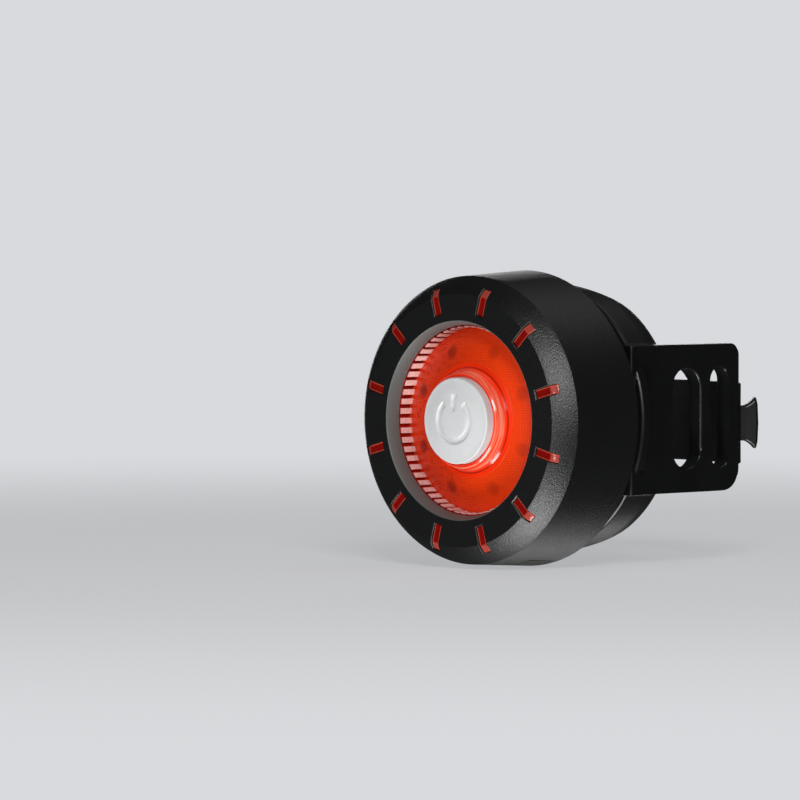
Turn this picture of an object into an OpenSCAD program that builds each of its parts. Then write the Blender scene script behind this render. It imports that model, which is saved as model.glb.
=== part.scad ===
// Round rear light for a bicycle. A rubber cradle and a stretched band clamp it in place.
// The clamp's axis is Z through the origin. The light looks along -Y and +X is its right side.

/* [Clamp and cradle] */
// Diameter of the clamp's opening, between the liner and the band
clamp_d = 27.2; // [25.4:0.1:28.6]
// Thickness of the soft liner in the clamp
pad_t = 1; // [0.6:0.1:1.6]
// Half of the angle that the liner covers in the clamp
pad_half_angle = 58; // [55:1:62]
// Radius of the liner's round outline
pad_r = 19; // [17:0.1:19.8]
// Thinnest rubber between the liner and the dock
floor_t = 1.2; // [0.8:0.1:2]
// Radius of the round cradle
dish_r = 20.5; // [19.6:0.1:22]
// How far the dock stands out of the cradle
dock_proud = 1.15; // [0.8:0.05:1.3]
// Thickness of the cradle's front rim, ahead of its flat sides
rim_t = 1.75; // [1.4:0.05:2.5]
// Length of the round part behind the rim
skirt_t = 2.6; // [1.5:0.1:3.5]
// Radius of the cradle where it ends at the sides of the clamp
saddle_r = 16.6; // [15.8:0.1:18]
// How far forward of the clamp's axis the cradle ends
saddle_end = 7; // [6:0.1:8]

/* [Wings and band] */
// How far the outside of a wing lies beyond the clamp's opening
wing_reach = 5.1; // [4.6:0.1:6]
// Wall thickness of a wing
wing_t = 2.6; // [2.2:0.1:3]
// Height of a wing
wing_h = 22.4; // [20:0.1:25]
// Radius of the wing's outside where it turns in behind the clamp
bend_r = 6; // [5.6:0.1:6.6]
// Distance behind the clamp's axis where the wing starts to turn
bend_y = 5.3; // [4.6:0.1:6]
// Angle through which the tall part of the wing turns
wing_turn = 20; // [18:1:24]
// Corner radius at the wing's upper end
corner_top = 2.2; // [1:0.1:3]
// Corner radius at the wing's lower end
corner_low = 4; // [2:0.1:4.5]
// Height of both slots in a wing
slot_h = 15.1; // [12:0.1:17]
// Width of the slot nearer the light
slot_a_w = 6.3; // [4:0.1:6.6]
// Width of the slot nearer the hook
slot_b_w = 4; // [3:0.1:4]
// Width of the rib between the slots
rib_w = 2.4; // [1.6:0.1:2.6]
// Thickness of the stretched band
band_t = 1.4; // [1:0.1:1.8]
// Height of the stretched band
band_h = 12.4; // [10:0.1:14]
// How far the hooks and the band lie below the middle of the wings
band_drop = 1.1; // [0:0.1:1.5]
// Thickness of the fishtail hook
hook_t = 2.2; // [1.6:0.1:2.4]
// Half height of the hook's neck
hook_neck = 2.7; // [1.8:0.1:3]
// Half height of the hook's flared end
hook_flare = 4.1; // [3.5:0.1:5]
// How far the hook stands out of the band
hook_reach = 2.6; // [2.4:0.1:4]

/* [Bayonet] */
// Thickness of the dock plate set into the cradle
dock_t = 2.35; // [2:0.05:3]
// Radius of the dock plate
dock_r = 15; // [14.6:0.1:16]
// Air gap between the dock and the light
dock_gap = 0.8; // [0.5:0.1:1.4]
// Radius of the light's twist foot
foot_r = 8.5; // [7.5:0.1:9]
// How far the foot's lugs stand out of it
lug_reach = 2.8; // [2:0.1:3]
// Thickness of the lugs
lug_t = 1; // [0.7:0.05:1.2]
// Angle that each lug covers
lug_angle = 38; // [30:1:38]
// Turn from locked to free
twist_angle = 60; // [60:1:60]

/* [Light body] */
// Radius of the body at its rear edge
body_r = 22.4; // [21.8:0.1:23.5]
// How much the body's side narrows from the rear edge to the bevel
side_taper = 0.7; // [0.4:0.1:1]
// Width of the bevel round the face
bevel_w = 2.7; // [2.3:0.1:3]
// Depth of the bevel round the face
bevel_depth = 2.8; // [2:0.1:3.5]
// How far the bevel bulges past a straight one
bevel_bulge = 0.42; // [0.1:0.02:0.6]
// Depth of the body from face to rear edge
body_depth = 15.5; // [15.2:0.1:18]
// Wall thickness of the body's side
wall = 1.8; // [1.5:0.1:2]
// Thickness of the front face
front_t = 1.8; // [1.4:0.1:2]
// Width of the flat ring round the opening
face_w = 4.1; // [3.8:0.1:4.3]
// Slant of the opening's lip, from the face inwards
lip_w = 0.6; // [0.3:0.05:0.65]
// Depth of the opening's lip
lip_depth = 2.2; // [2:0.1:2.4]
// Rounding of the rear edge
rear_round = 0.4; // [0.2:0.1:0.6]
// Thickness of the rear cover
cover_t = 1.2; // [1:0.1:1.8]
// How far the rear cover stays inside the body's rear edge
cover_inset = 0.8; // [0.6:0.1:1]

/* [Tick windows] */
// Number of windows round the face
tick_count = 12; // [8:1:16]
// Width of a window
tick_w = 1.45; // [1:0.05:2]
// Distance from the opening to a window
tick_start = 1.3; // [1.1:0.1:1.8]
// How far a window reaches onto the bevel
tick_reach = 1.3; // [0.5:0.1:1.5]
// How far the light guide lies below the face
tick_inset = 0.25; // [0.1:0.05:0.5]

/* [Lens] */
// Number of prism ribs round the lens
rib_count = 60; // [36:1:72]
// How far the ribs stand inside the lip
rib_step = 0.3; // [0.2:0.05:0.4]
// Depth of the grooves between the ribs
rib_depth = 0.5; // [0.3:0.05:0.7]
// Height of the ribs
rib_h = 2.35; // [2:0.05:2.6]
// Gap between the ribs and the lens
lens_gap = 0.2; // [0.15:0.05:0.4]
// Depth of the lens edge below the face
lens_edge = 4.4; // [4.2:0.1:4.6]
// Depth of the lens beside the collar
lens_crown = 2.6; // [2.4:0.1:3]
// Thickness of the lens
lens_t = 1.3; // [1:0.1:1.5]
// Radius of the collar at its foot
collar_r = 7.6; // [7.5:0.05:7.9]
// Depth of the collar's top below the face
collar_top = 0.55; // [0.3:0.05:0.9]

/* [Button] */
// Radius of the button
button_r = 6.5; // [6:0.1:6.6]
// Height of the button's middle above the face
button_proud = 1.25; // [0.8:0.05:1.6]
// How far the button's dome rises over its rim
button_dome = 0.55; // [0.3:0.05:0.8]
// Travel of the button
button_travel = 0.6; // [0.3:0.05:0.7]
// Outer radius of the power symbol
symbol_r = 3.6; // [3:0.1:4]
// Line width of the power symbol
symbol_w = 0.95; // [0.6:0.05:1.2]
// Depth of the power symbol in the button
symbol_depth = 0.3; // [0.15:0.05:0.5]

/* [Charging port] */
// Width of the charging socket
socket_w = 8.9; // [8.5:0.1:9.2]
// Height of the charging socket
socket_h = 3.2; // [3:0.1:3.3]
// Length of the charging socket
socket_l = 7.1; // [6:0.1:7.2]
// Length of the port cover from its hinge
flap_l = 13.4; // [12.8:0.1:14]
// Width of the port cover
flap_w = 4.9; // [4.4:0.1:5.2]
// Thickness of the port cover
flap_t = 1; // [0.8:0.1:1.1]
// Radius of the port cover's hinge barrel
barrel_r = 0.75; // [0.6:0.05:0.8]

/* [Inside] */
// Depth of the circuit board's front below the face
board_s = 8.6; // [8.5:0.1:9]
// Thickness of the circuit board
board_t = 1; // [0.8:0.1:1.2]
// Width of the ledge that the board rests on
ledge_w = 1; // [0.7:0.1:1.2]
// Thickness of the battery
battery_t = 4; // [3:0.1:4.2]
// Width of the battery
battery_w = 26; // [20:0.5:27]
// Height of the battery
battery_h = 24; // [18:0.5:25]
// How far the foam pad stays inside the battery's outline
pad_margin = 2; // [1:0.1:3]
// Distance between the battery's two leads
lead_pitch = 2.8; // [2:0.1:4]
// Width of the controller chip
controller_w = 5; // [4:0.5:6]
// Width of the charger chip
charger_w = 3; // [2:0.1:4]
// Width of the motion sensor
sensor_w = 3; // [2:0.1:4]
// Number of main lamps behind the lens
lamp_count = 8; // [4:1:8]
// Distance from the lens's edge to the ring of main lamps
lamp_inset = 2.8; // [2.6:0.1:3.4]
// Number of screws that hold the rear cover
cover_screw_count = 3; // [3:1:3]
// Shank radius of the cover and dock screws
screw_r = 0.75; // [0.6:0.05:0.9]

/* [Fits] */
// Radial clearance of pieces that turn or slide
run_gap = 0.08; // [0.04:0.01:0.1]
// Clearance between pieces that are laid together
seat_gap = 0.05; // [0.02:0.01:0.1]
// Clearance round the port cover
flap_gap = 0.15; // [0.1:0.05:0.25]

/* [Hidden] */
$fn = 96;
eps = 0.02;

// Distances forward of the clamp's axis, from the opening outwards
clamp_r = clamp_d / 2;
groove_r = clamp_r + pad_t;
dock_back = groove_r + floor_t;
dock_front = dock_back + dock_t;
dish_front = dock_front - dock_proud;
dish_step = dish_front - rim_t;
skirt_end = dish_step - skirt_t;
cover_back = dock_front + dock_gap;
cover_front = cover_back + cover_t;
face = cover_front + body_depth;

// Wing and band, seen from above
wing_x = clamp_r + wing_reach;
bend_c = [wing_x - bend_r, bend_y];
tongue_r = bend_r - band_t - 2 * seat_gap;
band_r0 = tongue_r + seat_gap;
band_r1 = band_r0 + band_t;
wing_end_y = bend_y + bend_r * sin(wing_turn);
band_start = wing_turn + 2;
hook_angle = band_start + 30;
hook_r1 = band_r1 + hook_reach;
leave_angle = atan2(bend_c[1], bend_c[0]) + acos((clamp_r - band_r0) / norm(bend_c));
wing_start = dock_front - 0.5;
slot_margin = 0.7;
slot_b_y = bend_y - slot_margin - slot_b_w / 2;
slot_a_y = slot_b_y - slot_b_w / 2 - rib_w - slot_a_w / 2;
slot_floor_x = 15;

// Bayonet levels
plate_t = dock_t - lug_t - 0.15;
lug_r = foot_r + lug_reach;
cavity_r = lug_r + 0.3;
stop_angle = 20;
lug_first = 90;

// Radii of the face, from the rim inwards
front_r = body_r - side_taper;
flat_r = front_r - bevel_w;
open_r = flat_r - face_w;
lip_r = open_r - lip_w;
tick_r0 = open_r + tick_start;
tick_r1 = flat_r + tick_reach;
rib_r = lip_r - rib_step;
lens_r = rib_r - lens_gap;
cover_r = body_r - cover_inset;

// Inside of the housing
bore_r = body_r - wall;
shelf_r = bore_r - ledge_w;
lip_out_r = open_r + 0.5;
cone_w = 1.6;
guide_wall_r = [open_r + 2.3, open_r + 3.5];
guide_lamp_top = board_s - 0.6;
flange_s = lip_depth + rib_h + 2 * seat_gap;
flange_t = 0.8;
flange_r = open_r + 1.5;
tray_s = flange_s + flange_t + seat_gap;
tray_floor = board_s - 1.6;
tray_floor_t = 0.7;
board_r = bore_r - 0.15;
board_back = board_s + board_t;
battery_s = body_depth - 0.4 - battery_t;
socket_tip = -bore_r + 0.9;
battery_low = socket_tip + socket_l + 0.8;
battery_mid = battery_low + battery_h / 2;
pad_s = board_back + 0.9;
pad_w = battery_w - 2 * pad_margin;
pad_corner = 1;
lead_side = 5;

// Lamps, chips and switch
lamp_ring_r = lens_r - lamp_inset;
lamp_size = [3.2, 2.8, 0.8];
guide_lamp_size = [1.6, 0.8, 0.6];
chip_t = 0.8;
controller_low = 2;
charger_low = -6;
sensor_low = -5;
sensor_h = sensor_w - 0.5;
switch_w = 5.2;
switch_t = 1.7;
stem_r = 1;
plunger_r = 1.8;
plunger_end = board_s - 2.6;
stem_l = 1.55;

// Button
button_bore = button_r + run_gap;
button_flange_r = button_r + 0.7;
button_flange_t = 0.65;
button_seat_s = lens_crown + 0.1;
button_rim_s = button_dome - button_proud;

// Screws
boss_r = 1.9;
cover_bolt_r = bore_r - boss_r;
head_r = 1.55;
head_t = 0.8;
cover_screw_l = 5;
dock_screw_l = 5;
dock_screw_at = [11.5, 6.5];
seal_r = [cover_r - 0.6, cover_r];
seal_depth = 0.6;

// Port
port_s = board_back + socket_h / 2 + 0.1;
flap_in_r = body_r - 0.15 - flap_t;
arm_r = flap_in_r + 0.7 * flap_t;
hinge_x = -7;
hinge_y = -sqrt(pow((flap_in_r + arm_r) / 2, 2) - pow(hinge_x, 2));
plug = [socket_w - 0.8, socket_h - 0.7, 0.8];

// Forward distance of a depth below the face
function at(s) = face - s;

// Points of a shallow arc from p to q that bulges to the left of the way from p to q
function arc_between(p, q, bulge, steps = 8) =
    let (d = q - p, chord = norm(d), n = [-d[1], d[0]] / chord,
        r = (chord * chord / 4 + bulge * bulge) / (2 * bulge),
        c = (p + q) / 2 - n * (r - bulge), a0 = atan2(p[1] - c[1], p[0] - c[0]),
        sweep = 2 * asin(chord / 2 / r))
    [for (i = [0 : steps]) c + r * [cos(a0 - sweep * i / steps), sin(a0 - sweep * i / steps)]];

// Turns a form that is built along Z so that it points forward
module forward() { rotate([90, 0, 0]) children(); }

// Wedge of a disc between two angles, all at one height
module wedge(r, from, to, h) {
    steps = 12;
    linear_extrude(h) intersection() {
        circle(r);
        polygon(concat([[0, 0]], [for (i = [0 : steps])
            let (a = from + (to - from) * i / steps) 1.2 * r * [cos(a), sin(a)]]));
    }
}

// Sector of a flat ring between two angles
module ring_sector(r0, r1, from, to) {
    steps = 12;
    intersection() {
        difference() { circle(r1); circle(r0); }
        polygon(concat([[0, 0]], [for (i = [0 : steps])
            let (a = from + (to - from) * i / steps) 1.2 * r1 * [cos(a), sin(a)]]));
    }
}

// Outer form of the light's body without its opening
function bevel_points() = arc_between([flat_r, at(0)], [front_r, at(bevel_depth)], bevel_bulge);
module body_form() {
    rotate_extrude() polygon(concat([[0, at(body_depth)], [0, at(0)]], bevel_points(),
        [[body_r, at(body_depth - rear_round)], [body_r - rear_round, at(body_depth)]]));
}

// Radial bars that cut the tick windows and shape the light guide's fins
module tick_bars(w, r0, r1, s0, s1) {
    for (i = [0 : tick_count - 1]) rotate([0, 0, (i + 0.5) * 360 / tick_count])
        translate([r0, -w / 2, at(s1)]) cube([r1 - r0, w, s1 - s0]);
}

module at_cover_screws() {
    for (i = [0 : cover_screw_count - 1]) rotate([0, 0, 90 + i * 360 / cover_screw_count])
        translate([cover_bolt_r, 0, 0]) children();
}

// Front shell: flat face, bevel, lip, twelve windows, screw bosses and the port
module front_housing() {
    color("#26282a") forward() difference() {
        union() {
            rotate_extrude() polygon(concat([[open_r, at(0)]], bevel_points(),
                [[body_r, at(body_depth - rear_round)], [body_r - rear_round, at(body_depth)],
                [bore_r, at(body_depth)], [bore_r, at(board_s)], [shelf_r, at(board_s)],
                [shelf_r, at(front_t + cone_w)], [shelf_r - cone_w, at(front_t)],
                [lip_out_r, at(front_t)], [lip_out_r, at(lip_depth)], [lip_r, at(lip_depth)]]));
            intersection() {
                at_cover_screws() translate([0, 0, at(body_depth)]) {
                    cylinder(r = boss_r, h = body_depth - board_back - seat_gap);
                    translate([0, -boss_r, 0])
                        cube([boss_r + 0.5, 2 * boss_r, body_depth - board_back - seat_gap]);
                }
                cylinder(r = bore_r + 0.5, h = 2 * face);
            }
            intersection() {
                translate([hinge_x - 2, -body_r, at(port_s + flap_w / 2 + 0.7)])
                    cube([flap_l + 3.4, body_r - bore_r + 2, flap_w + 0.7 - 0.8]);
                cylinder(r = bore_r + 0.3, h = 2 * face);
            }
        }
        tick_bars(tick_w, tick_r0, tick_r1, -1, front_t + cone_w + 0.1);
        translate([0, 0, at(body_depth)]) difference() {
            cylinder(r = seal_r[1], h = seal_depth);
            cylinder(r = seal_r[0], h = seal_depth);
        }
        at_cover_screws() translate([0, 0, at(body_depth) - eps])
            cylinder(r = screw_r + seat_gap, h = cover_screw_l - cover_t + 0.3);
        port_recess();
        port_hole(socket_w + 2 * seat_gap + 0.1, socket_h + 2 * seat_gap + 0.1, body_r);
    }
}

// Round-ended hole of the charging port
module port_hole(w, h, reach) {
    translate([0, -reach, at(port_s)]) rotate([-90, 0, 0]) linear_extrude(reach - bore_r + 3) {
        square([w - h, h], center = true);
        for (side = [-1, 1]) translate([side * (w - h) / 2, 0]) circle(h / 2);
    }
}

// Shallow recess for the port cover, with a round pocket for its hinge barrel
module port_recess() {
    h = flap_w + 2 * flap_gap;
    translate([0, 0, at(port_s) - h / 2]) {
        difference() {
            translate([hinge_x, -body_r - 1, 0]) cube([flap_l + flap_gap, body_r, h]);
            cylinder(r = flap_in_r - seat_gap, h = 2 * h);
        }
        translate([hinge_x, hinge_y, 0]) cylinder(r = barrel_r + run_gap, h = h);
    }
}

// Soft cover that closes the charging port; it is thinner beside its hinge barrel
module port_cover() {
    arm_l = barrel_r + flap_gap;
    color("#17181a") forward() {
        intersection() {
            body_form();
            translate([0, 0, at(port_s + flap_w / 2)]) difference() {
                translate([hinge_x, -body_r - 1, 0]) cube([flap_l, body_r, flap_w]);
                translate([0, 0, -1]) cylinder(r = flap_in_r, h = 2 * flap_w);
                difference() {
                    translate([hinge_x - 1, -body_r - 2, -1]) cube([arm_l + 1, body_r, 2 * flap_w]);
                    translate([0, 0, -2]) cylinder(r = arm_r, h = 3 * flap_w);
                }
            }
        }
        translate([hinge_x, hinge_y, at(port_s + flap_w / 2)]) cylinder(r = barrel_r, h = flap_w);
        translate([-plug[0] / 2, -flap_in_r - 0.1, at(port_s + plug[1] / 2)])
            cube([plug[0], plug[2] + 0.1, plug[1]]);
    }
}

// Clear red ring whose fins fill the windows and carry light up from the small lamps
module light_guide() {
    top = front_t + 0.1;
    color("#a5140c") forward() {
        rotate_extrude() polygon([[lip_out_r + 0.3, at(top)], [shelf_r - cone_w, at(top)],
            [shelf_r - 0.15, at(top + cone_w)], [shelf_r - 0.15, at(top + cone_w + 0.7)],
            [guide_wall_r[1], at(top + cone_w + 0.7)], [guide_wall_r[1], at(guide_lamp_top - 0.2)],
            [guide_wall_r[0], at(guide_lamp_top - 0.2)], [guide_wall_r[0], at(top + 1.2)],
            [lip_out_r + 0.3, at(top + 1.2)]]);
        intersection() {
            translate([0, 0, -tick_inset]) body_form();
            tick_bars(tick_w - 2 * seat_gap, tick_r0 + seat_gap, tick_r1 - seat_gap, 0,
                front_t + cone_w);
        }
    }
}

// Ring of upright prism ribs between the lip and the lens
module prism_ring() {
    share = 0.58;
    pitch = 360 / rib_count;
    color("#d04a3c") forward() translate([0, 0, at(lip_depth + seat_gap + rib_h)])
        linear_extrude(rib_h) difference() {
            circle(lip_out_r - seat_gap);
            polygon([for (i = [0 : rib_count - 1], k = [[0, 0], [share, 0], [share, 1], [1, 1]])
                let (a = (i + k[0]) * pitch, r = rib_r + k[1] * rib_depth) r * [cos(a), sin(a)]]);
        }
}

// Domed red lens with the collar that the button moves in
module lens() {
    inner_top = lens_crown + lens_t;
    color("#d8240c") forward() rotate_extrude() polygon(concat(
        [[button_bore, at(button_seat_s)], [button_bore, at(collar_top + 0.2)],
        [button_bore + 0.15, at(collar_top)], [collar_r - 0.6, at(collar_top)],
        [collar_r - 0.38, at(collar_top + 0.22)], [collar_r, at(lens_crown - 0.4)],
        [collar_r + 0.35, at(lens_crown - 0.1)], [collar_r + 1.1, at(lens_crown - 0.05)],
        [collar_r + 1.2, at(lens_crown + 0.1)]],
        arc_between([collar_r + 1.25, at(lens_crown + 0.1)], [lens_r, at(lens_edge)], 0.25),
        [[lens_r, at(flange_s)], [flange_r, at(flange_s)], [flange_r, at(flange_s + flange_t)],
        [lens_r - 0.6, at(flange_s + flange_t)], [collar_r + 1.2, at(inner_top + 0.1)],
        [button_flange_r + 0.15, at(inner_top)], [button_flange_r + 0.15, at(button_seat_s)]]));
}

// Open ring and bar of the power symbol
module power_symbol() {
    gap = 38;
    ring_sector(symbol_r - symbol_w, symbol_r, 90 + gap, 450 - gap);
    translate([-symbol_w / 2, symbol_r - 2.2]) square([symbol_w, 2.5]);
}

// Soft white button with a retaining flange and a plunger
module button() {
    round = 0.45;
    color("#e6e6e4") forward() difference() {
        rotate_extrude() polygon(concat(
            arc_between([0, at(-button_proud)], [button_r - round, at(button_rim_s)], 0.16),
            arc_between([button_r - round + 0.01, at(button_rim_s)],
                [button_r, at(button_rim_s + round)], 0.18, 4),
            [[button_r, at(button_seat_s + 0.1)], [button_flange_r, at(button_seat_s + 0.1)],
            [button_flange_r, at(button_seat_s + 0.1 + button_flange_t)],
            [plunger_r, at(button_seat_s + 0.1 + button_flange_t)],
            [plunger_r, at(plunger_end)], [0, at(plunger_end)]]));
        difference() {
            translate([0, 0, at(0.2)]) linear_extrude(button_proud + 1) power_symbol();
            translate([0, 0, -symbol_depth]) rotate_extrude() polygon(concat([[0, 0]],
                [[0, at(-button_proud)]],
                arc_between([0.01, at(-button_proud)], [button_r, at(button_rim_s)], 0.16),
                [[button_r, 0]]));
        }
    }
}

// White tray that aims the lamps and carries the lens
module reflector_tray() {
    color("#e9e9e2") forward() difference() {
        rotate_extrude() polygon([[flange_r, at(tray_s)], [flange_r, at(board_s - seat_gap)],
            [flange_r - 1.3, at(board_s - seat_gap)],
            [flange_r - 1.3, at(tray_floor + tray_floor_t)],
            [switch_w * 0.76, at(tray_floor + tray_floor_t)], [switch_w * 0.76, at(tray_floor)],
            [flange_r - 2.6, at(tray_floor)], [flange_r - 1.3, at(tray_s)]]);
        for (i = [0 : lamp_count - 1]) rotate([0, 0, (i + 0.5) * 360 / lamp_count])
            translate([lamp_ring_r, 0, at(board_s)]) cylinder(r = 2, h = 2);
    }
}

module tact_switch() {
    color("#3a3a3c") forward() translate([0, 0, at(board_s)]) difference() {
        translate([-switch_w / 2, -switch_w / 2, 0]) cube([switch_w, switch_w, switch_t]);
        translate([0, 0, 0.3]) cylinder(r = stem_r + run_gap, h = switch_t);
    }
}

// Stem of the switch, pushed by the button's plunger
module switch_stem() {
    color("#c9b458") forward() translate([0, 0, at(plunger_end + eps + stem_l)])
        cylinder(r = stem_r, h = stem_l);
}

module circuit_board() {
    color("#1d5a3a") forward() translate([0, 0, at(board_back)]) cylinder(r = board_r, h = board_t);
}

module main_lamps() {
    color("#f0e6b8") forward() for (i = [0 : lamp_count - 1])
        rotate([0, 0, (i + 0.5) * 360 / lamp_count])
            translate([lamp_ring_r - lamp_size[0] / 2, -lamp_size[1] / 2, at(board_s)])
                cube(lamp_size);
}

module guide_lamps() {
    mid_r = (guide_wall_r[0] + guide_wall_r[1]) / 2;
    color("#f0d8a8") forward() for (i = [0 : tick_count - 1])
        rotate([0, 0, (i + 0.5) * 360 / tick_count])
            translate([mid_r - guide_lamp_size[1] / 2, -guide_lamp_size[0] / 2, at(board_s)])
                cube([guide_lamp_size[1], guide_lamp_size[0], guide_lamp_size[2]]);
}

// Controller, charger and motion sensor on the back of the board
module control_chips() {
    color("#2b2b30") forward() translate([0, 0, at(board_back + chip_t)]) {
        translate([-controller_w / 2, controller_low, 0]) cube([controller_w, controller_w, chip_t]);
        translate([-pad_w / 2, charger_low, 0]) cube([charger_w, charger_w, chip_t]);
        translate([pad_w / 2 - sensor_w, sensor_low, 0]) cube([sensor_w, sensor_h, chip_t]);
    }
}

// Metal shell of the charging socket with its contact tongue
module charging_socket() {
    shell = 0.3;
    color("#b9bcc0") forward() translate([0, socket_tip, at(port_s)]) rotate([-90, 0, 0]) {
        difference() {
            linear_extrude(socket_l) socket_outline(socket_w, socket_h);
            translate([0, 0, -eps])
                linear_extrude(socket_l - 1) socket_outline(socket_w - 2 * shell, socket_h - 2 * shell);
        }
        translate([-socket_w / 2 + 1.2, -0.35, 0.9]) cube([socket_w - 2.4, 0.7, socket_l - 1]);
    }
}

module socket_outline(w, h) {
    square([w - h, h], center = true);
    for (side = [-1, 1]) translate([side * (w - h) / 2, 0]) circle(h / 2);
}

module battery() {
    color("#b8bcc4") forward() translate([0, battery_mid, at(battery_s + battery_t)])
        linear_extrude(battery_t) rounded_plate(battery_w, battery_h, battery_t * 0.3);
}

module rounded_plate(w, h, r) {
    square([w - 2 * r, h], center = true);
    square([w, h - 2 * r], center = true);
    for (x = [-1, 1], y = [-1, 1]) translate([x * (w / 2 - r), y * (h / 2 - r)]) circle(r);
}

// Foam between the battery and the board's back
module battery_pad() {
    color("#55585c") forward() translate([0, battery_mid, at(battery_s)])
        linear_extrude(battery_s - pad_s) rounded_plate(pad_w, battery_h - 2 * pad_margin, pad_corner);
}

// Two leads from the battery's upper edge to the board
module battery_leads() {
    lead_r = 0.4;
    top = battery_low + battery_h;
    mid_s = battery_s + battery_t / 2;
    color("#a01818") forward() for (x = [-1, 1] * lead_pitch / 2) translate([x - lead_side, 0, 0]) {
        translate([0, top, at(mid_s)]) rotate([-90, 0, 0]) cylinder(r = lead_r, h = 1, $fn = 24);
        translate([0, top + 1, at(mid_s)]) sphere(lead_r, $fn = 24);
        translate([0, top + 1, at(mid_s)]) cylinder(r = lead_r, h = mid_s - board_back, $fn = 24);
    }
}

module housing_seal() {
    color("#7a2a22") forward() translate([0, 0, at(body_depth) + seat_gap]) difference() {
        cylinder(r = seal_r[1] - seat_gap, h = seal_depth - 2 * seat_gap);
        translate([0, 0, -1]) cylinder(r = seal_r[0] + seat_gap, h = 3);
    }
}

// Rear cover with the twist foot and its lugs
module rear_cover() {
    lug_top = dock_front - plate_t - 0.05;
    color("#1f2022") forward() difference() {
        union() {
            rotate_extrude() polygon([[0, cover_front], [0, cover_back], [cover_r - 0.4, cover_back],
                [cover_r, cover_back + 0.4], [cover_r, cover_front]]);
            translate([0, 0, lug_top - lug_t]) cylinder(r = foot_r, h = cover_front - lug_top + lug_t);
            for (i = [0 : 2]) translate([0, 0, lug_top - lug_t])
                wedge(lug_r, lug_first + i * 120 - lug_angle / 2, lug_first + i * 120 + lug_angle / 2,
                    lug_t);
        }
        at_cover_screws() {
            translate([0, 0, cover_back - eps]) cylinder(r = screw_r + 0.15, h = 2 * cover_t);
            translate([0, 0, cover_back - eps])
                cylinder(r1 = head_r + 0.1, r2 = screw_r + 0.1, h = head_t + 0.05);
        }
    }
}

// Countersunk screw with its head's face at zero
module screw(length) {
    rotate_extrude() polygon([[0, 0], [head_r, 0], [screw_r, head_t], [screw_r, length],
        [0, length]]);
}

module cover_screws() {
    color("#8d9096") forward() at_cover_screws() translate([0, 0, cover_back])
        screw(cover_screw_l);
}

module at_dock_screws() {
    for (x = [-1, 1], y = [-1, 1])
        translate([x * dock_screw_at[0], y * dock_screw_at[1], dock_front]) mirror([0, 0, 1])
            children();
}

// Hard plate in the cradle: three entries, three tabs that hold the lugs, and end stops
module dock() {
    color("#2b2d2f") forward() difference() {
        union() {
            difference() {
                translate([0, 0, dock_back]) cylinder(r = dock_r, h = dock_t);
                translate([0, 0, dock_back - eps]) cylinder(r = cavity_r, h = dock_t - plate_t + eps);
                for (i = [0 : 2]) translate([0, 0, dock_front - plate_t - eps])
                    wedge(cavity_r, lug_first + i * 120 + twist_angle - lug_angle / 2 - 2,
                        lug_first + i * 120 + twist_angle + lug_angle / 2 + 2, plate_t + 1);
            }
            for (i = [0 : 2]) translate([0, 0, dock_back])
                wedge(cavity_r + 0.5, lug_first + i * 120 + twist_angle + lug_angle / 2 + 1,
                    lug_first + i * 120 + twist_angle + lug_angle / 2 + 1 + stop_angle,
                    dock_t - plate_t + 0.1);
        }
        translate([0, 0, dock_back - 1]) cylinder(r = foot_r + run_gap, h = dock_t + 2);
        at_dock_screws() {
            translate([0, 0, -eps]) cylinder(r = screw_r + 0.15, h = 2 * dock_t);
            translate([0, 0, -eps]) cylinder(r1 = head_r + 0.1, r2 = screw_r + 0.1, h = head_t + 0.05);
        }
    }
}

module dock_screws() {
    color("#8d9096") forward() at_dock_screws() screw(dock_screw_l);
}

// Outline of the fishtail hook: radius from the bend's middle against height
function hook_side() = [for (i = [0 : 8]) let (t = i / 8)
    [band_r1 + 0.2 + (hook_reach - 0.5) * t, hook_neck + (hook_flare - hook_neck) * t * t]];
module hook_outline() {
    upper = concat([[tongue_r - 0.5, hook_neck]], hook_side(), [[hook_r1, hook_flare * 0.7],
        [hook_r1 + 0.12, 0]]);
    polygon(concat(upper, [for (i = [len(upper) - 2 : -1 : 0]) [upper[i][0], -upper[i][1]]]));
}

// Side view of a wing: distance behind the clamp's axis against height, with both slots
module wing_side() {
    root = -wing_start - 1;
    end = wing_end_y + 0.05;
    difference() {
        union() for (top = [-1, 1]) let (r = top > 0 ? corner_top : corner_low)
            mirror([0, top > 0 ? 0 : 1]) {
                translate([root, -1]) square([end - root, wing_h / 2 + 1 - r]);
                translate([root, 0]) square([end - root - r, wing_h / 2]);
                translate([end - r, wing_h / 2 - r]) circle(r);
            }
        slot(slot_a_y, slot_a_w);
        slot(slot_b_y, slot_b_w);
    }
}

// Upright slot with round ends
module slot(y, w) {
    translate([y, 0]) {
        square([w, slot_h - w], center = true);
        for (end = [-1, 1]) translate([0, end * (slot_h - w) / 2]) circle(w / 2);
    }
}

// One wing with its slots, tongue and hook
module wing() {
    intersection() {
        linear_extrude(wing_h + 2, center = true) {
            translate([wing_x - wing_t, -wing_start]) square([wing_t, wing_start + bend_y]);
            translate(bend_c) ring_sector(bend_r - wing_t, bend_r, 0, wing_turn);
        }
        rotate([90, 0, 90]) linear_extrude(2 * wing_x) wing_side();
    }
    translate([bend_c[0], bend_c[1], -band_drop]) {
        linear_extrude(band_h, center = true)
            ring_sector(bend_r - wing_t + 0.1, tongue_r, wing_turn - 4, leave_angle);
        rotate([0, 0, hook_angle]) rotate([90, 0, 0]) linear_extrude(hook_t, center = true)
            hook_outline();
    }
}

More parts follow.
